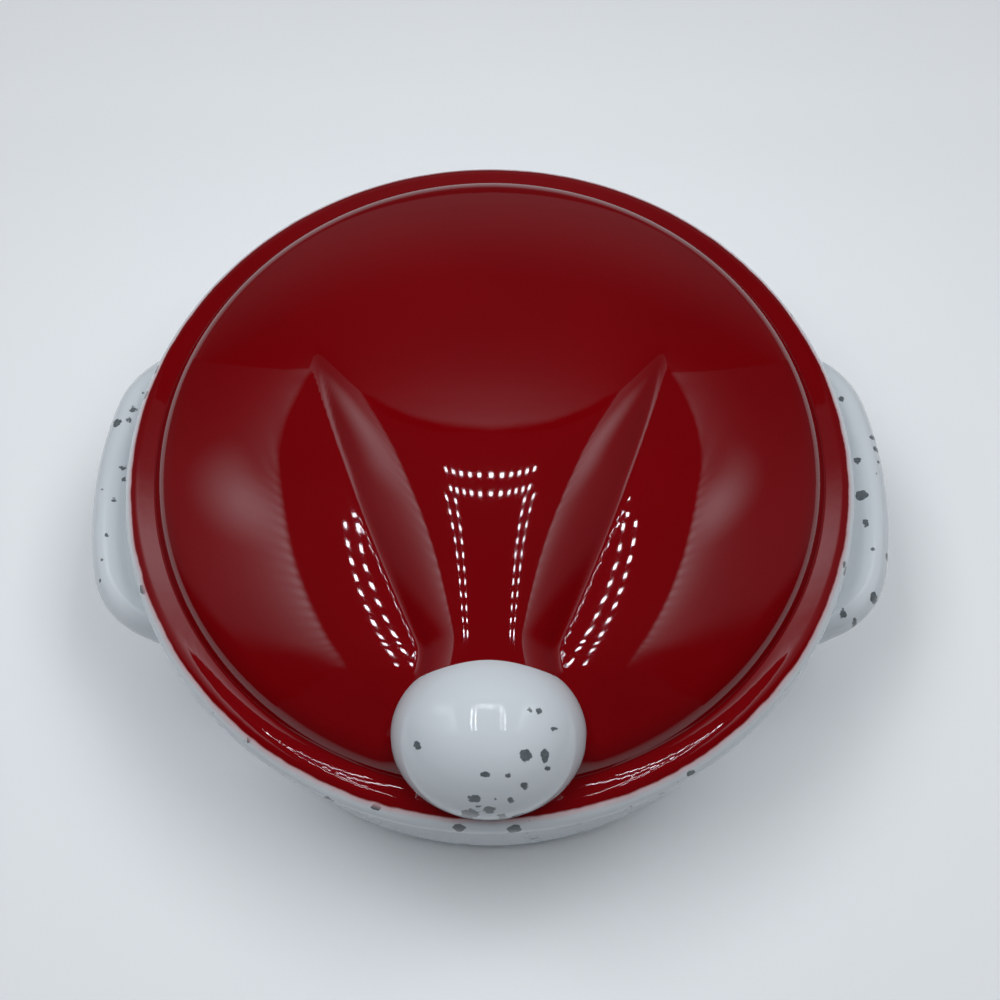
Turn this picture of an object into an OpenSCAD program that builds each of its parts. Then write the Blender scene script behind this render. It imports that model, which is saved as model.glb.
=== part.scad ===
// Mini casserole dish: a round stoneware dish with two lug handles and a domed lid.
// The lid is shaped as a hat whose folded tip runs forward from the crown and ends in a pompom.
// Millimetres. +Z is up, the pompom faces -Y, the handles lie on the X axis, the foot stands on z = 0.

/* [Dish] */
// outer diameter of the dish at its rim
dish_d = 134; // [110:1:165]
// height of the dish from the table to its rim
dish_h = 46; // [38:1:60]
// thickness of the dish wall
wall_t = 5; // [4:0.25:6.5]
// thickness of the dish floor above its underside
floor_t = 5.5; // [4.5:0.25:8]
// lean of the wall, in degrees from upright
wall_lean = 2; // [0.5:0.25:5]
// outer rounding between wall and underside
base_round = 9; // [7:0.5:12]
// rounding of the two edges of the rim
rim_round = 1.5; // [1:0.1:1.9]

/* [Foot] */
// height of the foot ring
foot_h = 2; // [1.5:0.1:3]
// width of the foot ring
foot_w = 5; // [4:0.25:7]
// distance of the foot ring from the start of the base rounding
foot_in = 2; // [1:0.25:5]

/* [Handles] */
// reach of a handle beyond the rim's radius
handle_reach = 12; // [9:0.25:15]
// radius of the rounded edge that runs round a handle
handle_edge = 4; // [3:0.25:5]
// thickness of the web inside that edge
handle_web = 6.4; // [4:0.2:7]
// drop from the rim to the top of a handle
handle_drop = 6; // [4:0.5:10]
// half of the angle that a handle's outermost arc covers
handle_half = 13.2; // [9:0.2:16]
// bend of the corners, to the middle of the edge
handle_bend = 14; // [11:0.5:18]

/* [Lid] */
// overhang of the lid beyond the dish's rim
lid_over = 2; // [1.6:0.1:3]
// rounding of the upper side of the lid's edge
edge_top = 4; // [3.4:0.1:4.6]
// rounding of the lower side of the lid's edge
edge_low = 2; // [1.2:0.1:2.4]
// distance from the lid's edge to the foot of the dome
crease_in = 6.7; // [6:0.1:8]
// height of the foot of the dome above the rim
crease_up = 6.5; // [6.4:0.05:7.4]
// rise of the dome above its foot
dome_rise = 18.6; // [16:0.2:23]
// radius of the short rounded shoulder between dome and foot
shoulder = 9; // [7:0.25:10]
// turn of the shoulder at its foot, in degrees from level
shoulder_lean = 70; // [60:1:75]
// thickness of the dome's wall
lid_wall = 7; // [6:0.25:8]
// clearance between the locating ring and the dish
ring_gap = 1; // [0.6:0.1:1.6]
// width of the locating ring
ring_w = 4; // [3:0.25:5]
// depth of the locating ring below the rim
ring_h = 4; // [3:0.25:6]

/* [Hat tip] */
// distance behind the middle of the lid where the fold starts
fold_back = 16.5; // [12:0.5:20]
// half width of the fold where it starts
fold_wide = 32.6; // [28:0.2:36]
// half width that the fold tends to before it flares to the pompom
fold_narrow = 3.4; // [2.6:0.2:5]
// flare of the fold on each side where it meets the pompom
fold_flare = 14; // [10:0.5:16]
// height that the fold's ridge gains over the dome on its way to the pompom
fold_lift = 2.3; // [1:0.1:3.5]
// depth of the groove along each side of the fold
groove_depth = 3.2; // [1.5:0.1:3.6]
// distance over which the groove's outer side rises back to the dome
groove_width = 36; // [30:1:42]
// softness of the groove's bottom
groove_soft = 0.6; // [0.3:0.1:1]

/* [Pompom] */
// width of the pompom from side to side
pompom_wide = 32.8; // [31.4:0.2:40]
// thickness of the pompom's ball, seen from the side
pompom_ball = 28; // [24:0.2:31]
// depth of the ball's middle below the pompom's foot line
pompom_sunk = 3; // [2.4:0.1:4]
// depth of the pompom's socket below that line
pompom_back = 2.5; // [2:0.1:3]
// slope of the foot line, in degrees from level
pompom_lean = 33; // [29:1:37]
// reach of the foot line's lower end beyond the foot of the dome
pompom_toe = 4.95; // [3.5:0.05:5]
// depth of this end below the foot of the dome
pompom_sink = 2; // [1.2:0.05:2.6]

/* [Detail] */
// sectors of round parts
round_n = 96; // [72:24:144]
// rings of the lid's shaped surface
lid_rings = 30; // [24:1:36]
// sectors of the lid's shaped surface
lid_sectors = 96; // [84:12:120]

/* [Hidden] */
$fn = round_n;
glaze_white = [0.86, 0.88, 0.89];
glaze_red = [0.55, 0.03, 0.06];

// dish
rim_r = dish_d / 2;
lean_tan = tan(wall_lean);
base_z = foot_h + base_round;
base_touch_z = base_z - base_round * sin(wall_lean);
base_touch_r = rim_r - (dish_h - base_touch_z) * lean_tan;
base_r = base_touch_r - base_round * cos(wall_lean);
bowl_round = base_round - 1;
bowl_z = foot_h + floor_t + bowl_round;
bowl_touch_z = bowl_z - bowl_round * sin(wall_lean);
bowl_touch_r = rim_r - wall_t - (dish_h - bowl_touch_z) * lean_tan;
bowl_r = bowl_touch_r - bowl_round * cos(wall_lean);
rim_z = dish_h - rim_round;
rim_out = rim_r - rim_round * lean_tan - rim_round / cos(wall_lean);
rim_in = rim_r - wall_t - rim_round * lean_tan + rim_round / cos(wall_lean);
foot_r = base_r - foot_in;

// handles
handle_r = rim_r + handle_reach - handle_edge;
handle_z = dish_h - handle_drop - handle_edge;
handle_sweep = 66;
bend_x = (handle_r - handle_bend) * cos(handle_half);
bend_y = (handle_r - handle_bend) * sin(handle_half);
root_x = rim_r - 15;
lip_turn = 180 - asin(handle_web / 2 / handle_edge);

// lid
lid_r = rim_r + lid_over;
crease_r = lid_r - crease_in;
crease_z = dish_h + crease_up;
shoulder_x = crease_r - shoulder * sin(shoulder_lean);
shoulder_z = crease_z - shoulder * cos(shoulder_lean);
crown_drop = crease_z + dome_rise - shoulder_z;
dome_r = (pow(shoulder_x, 2) + pow(crown_drop, 2) - pow(shoulder, 2)) / (2 * (crown_drop - shoulder));
dome_z = crease_z + dome_rise - dome_r;
shoulder_r = shoulder_x * dome_r / (dome_r - shoulder);
ring_out = rim_r - wall_t - ring_h * lean_tan - ring_gap;
ring_in = ring_out - ring_w;
edge_x = lid_r - edge_top;
edge_z = dish_h + edge_low;
edge_reach = norm([crease_r - edge_x, crease_z - edge_z]);
edge_turn = atan2(crease_z - edge_z, crease_r - edge_x) - acos(edge_top / edge_reach);
skirt = 0.4;
ring_bias = 1.3;

// pompom
ball_r = pompom_ball / 2;
end_r = 0.9 * ball_r;
end_x = pompom_wide / 2 - end_r;
side_r = (pow(end_x, 2) + pow(ball_r, 2) - pow(end_r, 2)) / (2 * (ball_r - end_r));
touch_x = end_x * side_r / (side_r - end_r);
pompom_y = crease_r + pompom_toe - ball_r * cos(pompom_lean);
pompom_z = crease_z - pompom_sink + ball_r * sin(pompom_lean);

// the higher of two heights, with a soft change from one to the other
function soft_max(a, b, k) = max(a, b) + k / 6 * pow(max(k - abs(a - b), 0) / k, 3);

// height of the plain dome at a distance from the axis: a wide crown, then the shoulder, then a steep skirt
function dome_height(r) = r < shoulder_r
  ? dome_z + sqrt(dome_r * dome_r - r * r)
  : shoulder_z + sqrt(max(0, pow(shoulder, 2) - pow(r - shoulder_x, 2))) - 3 * max(0, r - crease_r);

// how far along the fold a point lies, 0 where it starts and 1 at the pompom
function fold_along(y) = max(0, min(1, (fold_back - y) / (fold_back + pompom_y)));

// half width of the fold
function fold_half(t) = fold_narrow + (fold_wide - fold_narrow) * (1 - t) * (1 + 0.39 * t)
  + fold_flare * pow(max(0, (t - 0.785) / 0.215), 1.5);

// sharpness of the fold's sides, greatest at the start and least midway
function fold_sharp(t) = 2.3 + 7 * pow(1 - t, 4) + 3 * pow(t, 5);

// how much of the fold is left below the pompom, where it ends
function fold_end(y) = max(0, min(1, (y + pompom_y + 4) / 8));

// height of the fold's ridge over the dome
function fold_raise(y, t) = fold_lift * pow(max(0, (t - 0.2) / 0.65), 1.5) * fold_end(y);

// depth of the groove below the dome
function groove_sink(y, t) = groove_depth * pow(sin(90 * min(1, t / 0.3)), 1.5)
  * (1 - 0.75 * pow(max(0, min(1, (t - 0.5) / 0.35)), 2)) * fold_end(y);

// height of the lid's shaped surface: the fold inside the grooves, the dome with their outer sides elsewhere
function hat_height(x, y, t) = let (
    d = dome_height(norm([x, y])),
    half = fold_half(t),
    up = fold_raise(y, t),
    down = groove_sink(y, t),
    u = min(2, abs(x) / half),
    v = max(-0.3, min(1, (abs(x) - half) / groove_width)),
    k = max(0.001, min(groove_soft, 0.35 * (up + down)))
  ) soft_max(d + up - (up + down) * pow(u, fold_sharp(t)), d - down * pow(1 - v, 2), k);

function lid_height(x, y) = hat_height(x, y, fold_along(y));

module dish_outside_2d() {
  union() {
    polygon([
      [0, foot_h],
      [base_r, foot_h],
      [base_touch_r, base_touch_z],
      [rim_out + rim_round * cos(wall_lean), rim_z - rim_round * sin(wall_lean)],
      [rim_out, dish_h],
      [0, dish_h]
    ]);
    translate([base_r, base_z]) circle(base_round);
    translate([rim_out, rim_z]) circle(rim_round);
  }
}

module dish_hollow_2d() {
  difference() {
    union() {
      polygon([
        [0, bowl_z - bowl_round],
        [bowl_r, bowl_z - bowl_round],
        [bowl_touch_r, bowl_touch_z],
        [rim_in - rim_round * cos(wall_lean), rim_z + rim_round * sin(wall_lean)],
        [rim_in, dish_h],
        [rim_in, dish_h + 1],
        [0, dish_h + 1]
      ]);
      translate([bowl_r, bowl_z]) circle(bowl_round);
    }
    translate([rim_in, rim_z]) circle(rim_round);
  }
}

// the dish without its hollow, used to trim the handles to the wall
module dish_blank() {
  rotate_extrude() dish_outside_2d();
}

module dish_bowl() {
  color(glaze_white) {
    rotate_extrude() difference() {
      union() {
        dish_outside_2d();
        translate([foot_r - foot_w, 0]) square([foot_w, foot_h + 1]);
      }
      dish_hollow_2d();
    }
  }
}

// middle of a handle's rounded edge and its outward direction, from one end to the other
function handle_path(nb, nc) = concat(
  [for (i = [0:nb]) let (a = (handle_half - handle_sweep) * (1 - i / nb) - handle_half)
    [bend_x + handle_bend * cos(a), handle_bend * sin(a) - bend_y, a]],
  [for (i = [1:nc - 1]) let (a = handle_half * (2 * i / nc - 1)) [handle_r * cos(a), handle_r * sin(a), a]],
  [for (i = [0:nb]) let (a = handle_half + (handle_sweep - handle_half) * i / nb)
    [bend_x + handle_bend * cos(a), bend_y + handle_bend * sin(a), a]]
);

// one point of the rounded edge, at a turn about its middle
function handle_point(p, turn) = [
  p[0] + handle_edge * cos(turn) * cos(p[2]),
  p[1] + handle_edge * cos(turn) * sin(p[2]),
  handle_z + handle_edge * sin(turn)
];

// the same point carried straight on into the wall
function handle_root(p, turn) = let (q = handle_point(p, turn), side = sign(p[2]))
  [root_x, q[1] + side * (q[0] - root_x) / tan(handle_sweep), q[2]];

// a lug with a rounded edge and a slightly lower web, carried into the wall
module handle_form() {
  path = handle_path(9, 8);
  n = len(path) + 2;
  k = 14;
  turns = [for (j = [0:k]) lip_turn * (2 * j / k - 1)];
  points = [for (i = [0:n - 1]) for (j = [0:k])
    i == 0 ? handle_root(path[0], turns[j])
    : i == n - 1 ? handle_root(path[n - 3], turns[j])
    : handle_point(path[i - 1], turns[j])];
  w = k + 1;
  polyhedron(
    points = points,
    faces = concat(
      [for (i = [0:n - 2]) for (j = [0:k - 1]) [i * w + j, i * w + j + 1, (i + 1) * w + j]],
      [for (i = [0:n - 2]) for (j = [0:k - 1]) [i * w + j + 1, (i + 1) * w + j + 1, (i + 1) * w + j]],
      [[for (i = [0:n - 1]) i * w]],
      [[for (i = [n - 1:-1:0]) i * w + k]],
      [concat([for (j = [k:-1:0]) j], [for (j = [0:k]) (n - 1) * w + j])]
    )
  );
}

module handle() {
  difference() {
    handle_form();
    dish_blank();
  }
}

module right_handle() {
  color(glaze_white) handle();
}

module left_handle() {
  color(glaze_white) mirror([1, 0, 0]) handle();
}

module lid_edge_2d() {
  union() {
    polygon([
      [ring_in, dish_h - ring_h + 1],
      [ring_in + 1, dish_h - ring_h],
      [ring_out - 1, dish_h - ring_h],
      [ring_out, dish_h - ring_h + 1],
      [ring_out, dish_h],
      [lid_r - edge_low, dish_h],
      [lid_r, edge_z],
      [edge_x + edge_top * cos(edge_turn), edge_z + edge_top * sin(edge_turn)],
      [crease_r, crease_z],
      [ring_in, crease_z]
    ]);
    translate([edge_x, edge_z]) intersection() {
      circle(edge_top);
      square(edge_top);
    }
    translate([lid_r - edge_low, edge_z]) circle(edge_low);
  }
}

// the hat's surface with its folded tip, closed below by a flat face
module lid_form() {
  n = lid_rings;
  m = lid_sectors;
  low = dish_h + 2;
  edge = crease_r + skirt;
  rings = [for (i = [1:n]) edge * (1 - pow(1 - i / n, ring_bias))];
  top = [for (r = rings) for (j = [0:m - 1])
    let (a = 360 * j / m, x = r * cos(a), y = r * sin(a)) [x, y, lid_height(x, y)]];
  bottom = [for (j = [0:m - 1]) let (a = 360 * j / m) [edge * cos(a), edge * sin(a), low]];
  crown = [[0, 0, lid_height(0, 0)]];
  base = 1 + n * m;
  polyhedron(
    points = concat(crown, top, bottom),
    faces = concat(
      [for (j = [0:m - 1]) [0, 1 + (j + 1) % m, 1 + j]],
      [for (i = [0:n - 2]) for (j = [0:m - 1])
        let (k = (j + 1) % m) [1 + i * m + j, 1 + i * m + k, 1 + (i + 1) * m + j]],
      [for (i = [0:n - 2]) for (j = [0:m - 1])
        let (k = (j + 1) % m) [1 + i * m + k, 1 + (i + 1) * m + k, 1 + (i + 1) * m + j]],
      [for (j = [0:m - 1]) let (k = (j + 1) % m) [1 + (n - 1) * m + j, 1 + (n - 1) * m + k, base + j]],
      [for (j = [0:m - 1]) let (k = (j + 1) % m) [1 + (n - 1) * m + k, base + k, base + j]],
      [[for (j = [0:m - 1]) base + j]]
    )
  );
}

// the space under the dome
module lid_hollow() {
  intersection() {
    translate([0, 0, dome_z]) sphere(dome_r - lid_wall);
    translate([0, 0, dish_h - ring_h - 1]) cylinder(r = ring_in, h = dome_rise + 40);
  }
}

// half outline of a ball that is wider than thick: a flatter arc with a rounder one at each end
module pompom_2d() {
  intersection() {
    union() {
      for (side = [-1, 1]) translate([0, side * end_x]) circle(end_r);
      intersection() {
        translate([ball_r - side_r, 0]) circle(side_r);
        translate([0, -touch_x]) square([ball_r + 1, 2 * touch_x]);
      }
    }
    translate([0, -pompom_wide]) square(2 * pompom_wide);
  }
}

// the ball, cut off flat at the bottom of its socket
module pompom_form() {
  translate([0, -pompom_y, pompom_z]) rotate([pompom_lean, 0, 0]) intersection() {
    translate([0, 0, -pompom_sunk]) rotate([0, 90, 0]) rotate_extrude() pompom_2d();
    translate([-pompom_wide, -pompom_wide, -pompom_back]) cube(2 * pompom_wide);
  }
}

module lid_shell() {
  color(glaze_red) difference() {
    union() {
      rotate_extrude() lid_edge_2d();
      lid_form();
    }
    lid_hollow();
    pompom_form();
  }
}

module pompom_knob() {
  color(glaze_white) pompom_form();
}

dish_bowl();
left_handle();
right_handle();
lid_shell();
pompom_knob();
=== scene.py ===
import math

import bmesh
import bpy
import numpy as np
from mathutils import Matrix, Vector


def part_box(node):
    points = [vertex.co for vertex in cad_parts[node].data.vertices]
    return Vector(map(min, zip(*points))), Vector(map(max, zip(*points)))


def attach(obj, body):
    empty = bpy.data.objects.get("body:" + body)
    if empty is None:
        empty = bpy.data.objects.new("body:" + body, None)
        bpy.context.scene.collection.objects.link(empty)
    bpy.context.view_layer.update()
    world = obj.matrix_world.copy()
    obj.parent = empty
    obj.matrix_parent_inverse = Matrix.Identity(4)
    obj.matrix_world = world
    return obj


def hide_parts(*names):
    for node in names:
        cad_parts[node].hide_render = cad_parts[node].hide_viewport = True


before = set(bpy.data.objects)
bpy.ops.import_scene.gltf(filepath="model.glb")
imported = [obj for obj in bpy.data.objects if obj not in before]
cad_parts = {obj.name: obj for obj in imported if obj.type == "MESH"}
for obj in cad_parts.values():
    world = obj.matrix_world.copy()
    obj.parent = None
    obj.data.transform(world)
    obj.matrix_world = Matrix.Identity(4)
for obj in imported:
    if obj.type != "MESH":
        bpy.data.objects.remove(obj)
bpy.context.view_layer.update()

scene = bpy.context.scene
MM = 0.001

# Camera: it stands a little in front of the dish and looks down on the lid at about 66 degrees.
camera_data = bpy.data.cameras.new("photo_camera")
camera_data.lens = 43.2
camera_data.sensor_width = 36.0
camera_data.clip_start = 0.01
camera_data.clip_end = 20.0
camera = bpy.data.objects.new("photo_camera", camera_data)
camera.location = (1.9 * MM, -99.8 * MM, 254.7 * MM)
camera.rotation_euler = (math.radians(24.01), 0, 0)
scene.collection.objects.link(camera)
scene.camera = camera
scene.view_settings.view_transform = "Standard"

# Sizes of the dish, in millimetres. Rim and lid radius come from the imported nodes.
RIM_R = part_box("dish_bowl")[1].y / MM
RIM_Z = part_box("dish_bowl")[1].z / MM
WALL = 5.0
WALL_LEAN = math.tan(math.radians(2))
FLOOR_Z = 7.5
BASE_ROUND = 9.0
BOWL_ROUND = 8.0
RIM_ROUND = 1.5
FOOT_H = 2.0
FOOT_IN = 49.77
FOOT_OUT = 54.77
FOOT_ROUND = 1.0
FOOT_CORNER = 0.8
FOOT_BARE = 0.7
TURN_SECTORS = 256

# Sizes of the handles.
EDGE = 4.0
WEB = 3.2
HANDLE_R = RIM_R + 8
HANDLE_Z = RIM_Z - 10
HANDLE_HALF = math.radians(13.2)
HANDLE_SWEEP = math.radians(66)
HANDLE_BEND = 14.0
HANDLE_FILLET = 2.0
HANDLE_SUNK = 2.8
WEB_SOFT = 0.9

# Sizes of the lid.
LID_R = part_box("lid_shell")[1].y / MM
BEAD_R = 4.0
BEAD_X = LID_R - BEAD_R
BEAD_LOW = 2.0
BEAD_Z = RIM_Z + BEAD_LOW
BEAD_SPLIT = math.radians(30)
CREASE_R = LID_R - 6.7
CREASE_Z = RIM_Z + 6.5
CREASE_SOFT = 2.0
DOME_RISE = 18.599
DOME_SKIRT = 3.0
SHOULDER = 9.0
SHOULDER_LEAN = math.radians(70)
SHOULDER_X = CREASE_R - SHOULDER * math.sin(SHOULDER_LEAN)
SHOULDER_Z = CREASE_Z - SHOULDER * math.cos(SHOULDER_LEAN)
CROWN_DROP = CREASE_Z + DOME_RISE - SHOULDER_Z
DOME_R = (SHOULDER_X ** 2 + CROWN_DROP ** 2 - SHOULDER ** 2) / (2 * (CROWN_DROP - SHOULDER))
DOME_Z = CREASE_Z + DOME_RISE - DOME_R
SHOULDER_R = SHOULDER_X * DOME_R / (DOME_R - SHOULDER)
LID_WALL = 7.0
RING_OUT = 60.86
RING_IN = 56.86
RING_DEEP = 4.0
RING_ROUND = 1.0
RING_BARE = 0.6
SEAT_ROUND = 0.8
HOLLOW_EASE = 4.0
HOLLOW_ROUND = 2.5
GLAZE_LINE = 67.2

# Sizes of the folded hat tip and the pompom.
FOLD_BACK = 16.5
FOLD_WIDE = 32.6
FOLD_NARROW = 3.4
FOLD_FLARE = 14.0
FOLD_LIFT = 2.3
GROOVE_DEPTH = 3.2
GROOVE_WIDTH = 36.0
FOLD_SOFT = 0.6
FOLD_CLOSE = 4.0
POMPOM_HALF = 16.4
POMPOM_BALL = 14.0
POMPOM_SUNK = 3.0
POMPOM_BACK = 2.5
POMPOM_LEAN = math.radians(33)
POMPOM_FORE = 4.95
POMPOM_LOW = 2.0
POMPOM_Y = CREASE_R + POMPOM_FORE - POMPOM_BALL * math.cos(POMPOM_LEAN)
POMPOM_Z = CREASE_Z - POMPOM_LOW + POMPOM_BALL * math.sin(POMPOM_LEAN)

# How the fold changes along its way. Starts and runs are shares of the way from the crown to the pompom.
# FLANK values are powers and gains of how steeply its sides fall.
FOLD_BULGE = 0.39
FLARE_START = 0.785
FLARE_POWER = 1.5
LIFT_START = 0.2
LIFT_RUN = 0.65
LIFT_POWER = 1.5
SINK_RUN = 0.36
SINK_POWER = 1.5
FILL_START = 0.5
FILL_RUN = 0.35
FILL_SHARE = 0.75
FLANK_POWER = 2.3
FLANK_BACK = 21.0
FLANK_BACK_POWER = 6.0
FLANK_FRONT = 3.0
FLANK_FRONT_POWER = 5.0
FLANK_END = 2.0
GROOVE_UNDER = 0.3
VALLEY_SHARE = 0.35
VALLEY_LEAST = 0.001
FLANGE_UNDER = 2.0

# Colours that more than one surface has.
WHITE_DEEP = "#C4CCD3"
WHITE_PALE = "#D0D8DE"
LAMP_WHITE = "#F4F8FF"
STUDIO = "#EEF2F8"
STUDIO_LEVEL = 0.8


def colour(code):
    """Linear RGBA of an sRGB hex colour."""
    parts = [int(code[i:i + 2], 16) / 255 for i in (1, 3, 5)]
    return (*[p / 12.92 if p <= 0.04045 else ((p + 0.055) / 1.055) ** 2.4 for p in parts], 1.0)


def add(tree, kind, links=None, **settings):
    """Adds a node with its settings, and sets or links its inputs."""
    node = tree.nodes.new(kind)
    for name, value in settings.items():
        setattr(node, name, value)
    for socket, value in (links or {}).items():
        if isinstance(value, bpy.types.NodeSocket):
            tree.links.new(value, node.inputs[socket])
        else:
            node.inputs[socket].default_value = value
    return node


def new_material(name):
    """An empty node material and its tree."""
    material = bpy.data.materials.new(name)
    material.use_nodes = True
    material.node_tree.nodes.clear()
    return material, material.node_tree


# Specks: iron grains that melt into the white glaze as soft-edged grey ovals of 0.5 to 2.5 mm. The grains
# sit about 4 mm apart in space, and their outline wavers over about 1 mm.
specks = bpy.data.node_groups.new("iron_specks", "ShaderNodeTree")
specks.interface.new_socket(name="Share", in_out="OUTPUT", socket_type="NodeSocketFloat")
speck_place = add(specks, "ShaderNodeTexCoord").outputs["Object"]
waver = add(specks, "ShaderNodeTexNoise", {"Vector": speck_place, "Scale": 1 / (1.3 * MM), "Detail": 1.0})
waver_centred = add(
    specks, "ShaderNodeVectorMath", {0: waver.outputs["Color"], 1: (0.5, 0.5, 0.5)}, operation="SUBTRACT")
wavered = add(
    specks, "ShaderNodeVectorMath", {0: waver_centred.outputs[0], 1: (1.1 * MM,) * 3, 2: speck_place},
    operation="MULTIPLY_ADD")
grain = add(
    specks, "ShaderNodeTexVoronoi",
    {"Vector": wavered.outputs[0], "Scale": 1 / (4.4 * MM), "Randomness": 1.0})
grain_kind = add(specks, "ShaderNodeSeparateColor", {0: grain.outputs["Color"]})
grain_power = add(specks, "ShaderNodeMath", {0: grain_kind.outputs[0], 1: 2.0}, operation="POWER")
grain_size = add(
    specks, "ShaderNodeMapRange", {0: grain_power.outputs[0], 1: 0.0, 2: 1.0, 3: 0.05, 4: 0.34})
grain_inside = add(
    specks, "ShaderNodeMath", {0: grain_size.outputs[0], 1: grain.outputs["Distance"]}, operation="SUBTRACT")
grain_share = add(
    specks, "ShaderNodeMapRange", {0: grain_inside.outputs[0], 1: 0.0, 2: 0.035, 3: 0.0, 4: 1.0})
fine = add(
    specks, "ShaderNodeTexVoronoi", {"Vector": speck_place, "Scale": 1 / (2.6 * MM), "Randomness": 1.0})
fine_share = add(
    specks, "ShaderNodeMapRange", {0: fine.outputs["Distance"], 1: 0.05, 2: 0.075, 3: 0.55, 4: 0.0})
both = add(
    specks, "ShaderNodeMath", {0: grain_share.outputs[0], 1: fine_share.outputs[0]}, operation="MAXIMUM")
add(specks, "NodeGroupOutput", {"Share": both.outputs[0]})


def white_glaze(name, placed):
    """White speckled stoneware glaze: glassy and a little uneven, milky white with grey iron specks.
    Where specks are listed one by one, they come from the piece's own speck attribute."""
    material, tree = new_material(name)
    place = add(tree, "ShaderNodeTexCoord").outputs["Object"]
    cloud = add(tree, "ShaderNodeTexNoise", {"Vector": place, "Scale": 1 / (22 * MM), "Detail": 3.0})
    body = add(
        tree, "ShaderNodeMix", {"Factor": cloud.outputs[0], 6: colour(WHITE_DEEP), 7: colour(WHITE_PALE)},
        data_type="RGBA")
    share = add(tree, "ShaderNodeGroup", node_tree=specks).outputs[0]
    if placed:
        field = add(tree, "ShaderNodeAttribute", attribute_name="speck").outputs["Fac"]
        ragged = add(tree, "ShaderNodeTexNoise", {"Vector": place, "Scale": 1 / (0.9 * MM), "Detail": 2.0})
        worn = add(
            tree, "ShaderNodeMapRange", {0: ragged.outputs[0], 1: 0.3, 2: 0.7, 3: -0.22, 4: 0.22})
        edge = add(tree, "ShaderNodeMath", {0: field, 1: worn.outputs[0]}, operation="ADD")
        inside = add(tree, "ShaderNodeMapRange", {0: edge.outputs[0], 1: 0.0, 2: 0.14, 3: 0.0, 4: 1.0})
        share = inside.outputs[0]
    melt = add(tree, "ShaderNodeTexNoise", {"Vector": place, "Scale": 1 / (0.6 * MM), "Detail": 2.0})
    iron = add(
        tree, "ShaderNodeMix", {"Factor": melt.outputs[0], 6: colour("#464E53"), 7: colour("#727B80")},
        data_type="RGBA")
    surface = add(
        tree, "ShaderNodeMix", {"Factor": share, 6: body.outputs[2], 7: iron.outputs[2]}, data_type="RGBA")
    gloss = add(tree, "ShaderNodeMapRange", {0: cloud.outputs[0], 1: 0.3, 2: 0.7, 3: 0.015, 4: 0.04})
    peel = add(tree, "ShaderNodeTexNoise", {"Vector": place, "Scale": 1 / (4 * MM), "Detail": 1.0})
    bump = add(tree, "ShaderNodeBump", {"Height": peel.outputs[0], "Strength": 0.10, "Distance": 0.2 * MM})
    shader = add(tree, "ShaderNodeBsdfPrincipled", {
        "Base Color": surface.outputs[2], "Roughness": gloss.outputs[0], "IOR": 1.5,
        "Normal": bump.outputs[0]})
    add(tree, "ShaderNodeOutputMaterial", {"Surface": shader.outputs[0]})
    return material


glaze_white = white_glaze("white_speckled_glaze", False)
glaze_placed = white_glaze("white_glaze_with_placed_specks", True)

# Red gloss glaze over the hat: deep, wet-looking red of slightly uneven depth. It breaks into a ragged pink
# line where it meets the white glaze of the lid's edge, and it lies in small ripples near that line, most of
# all at the front.
glaze_red, red = new_material("red_gloss_glaze")
red_place = add(red, "ShaderNodeTexCoord").outputs["Object"]
flat_place = add(red, "ShaderNodeVectorMath", {0: red_place, 1: (1.0, 1.0, 0.0)}, operation="MULTIPLY")
from_axis = add(red, "ShaderNodeVectorMath", {0: flat_place.outputs[0]}, operation="LENGTH").outputs["Value"]
drift = add(red, "ShaderNodeTexNoise", {"Vector": red_place, "Scale": 1 / (4.5 * MM), "Detail": 2.0})
drift_mm = add(red, "ShaderNodeMapRange", {0: drift.outputs[0], 1: 0.3, 2: 0.7, 3: -0.13 * MM, 4: 0.13 * MM})
line_place = add(red, "ShaderNodeMath", {0: from_axis, 1: drift_mm.outputs[0]}, operation="ADD")
line = add(
    red, "ShaderNodeMapRange",
    {0: line_place.outputs[0], 1: (GLAZE_LINE - 0.15) * MM, 2: (GLAZE_LINE + 0.15) * MM, 3: 0.0, 4: 1.0})
fade = add(
    red, "ShaderNodeMapRange",
    {0: line_place.outputs[0], 1: GLAZE_LINE * MM, 2: (GLAZE_LINE + 0.9) * MM, 3: 0.0, 4: 1.0})
pool = add(red, "ShaderNodeTexNoise", {"Vector": red_place, "Scale": 1 / (30 * MM), "Detail": 2.0})
red_body = add(
    red, "ShaderNodeMix", {"Factor": pool.outputs[0], 6: colour("#680207"), 7: colour("#740309")},
    data_type="RGBA")
red_cloud = add(red, "ShaderNodeTexNoise", {"Vector": red_place, "Scale": 1 / (22 * MM), "Detail": 3.0})
white_body = add(
    red, "ShaderNodeMix", {"Factor": red_cloud.outputs[0], 6: colour(WHITE_DEEP), 7: colour(WHITE_PALE)},
    data_type="RGBA")
edge_specks = add(red, "ShaderNodeGroup", node_tree=specks).outputs[0]
white_edge = add(
    red, "ShaderNodeMix", {"Factor": edge_specks, 6: white_body.outputs[2], 7: colour("#5E666B")},
    data_type="RGBA")
pink_edge = add(
    red, "ShaderNodeMix", {"Factor": fade.outputs[0], 6: colour("#C9A3A8"), 7: white_edge.outputs[2]},
    data_type="RGBA")
hat_colour = add(
    red, "ShaderNodeMix", {"Factor": line.outputs[0], 6: red_body.outputs[2], 7: pink_edge.outputs[2]},
    data_type="RGBA")
red_gloss = add(red, "ShaderNodeMapRange", {0: red_cloud.outputs[0], 1: 0.3, 2: 0.7, 3: 0.02, 4: 0.05})
red_peel = add(red, "ShaderNodeTexNoise", {"Vector": red_place, "Scale": 1 / (2.6 * MM), "Detail": 1.0})
red_front = add(red, "ShaderNodeSeparateXYZ", {0: red_place})
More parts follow.
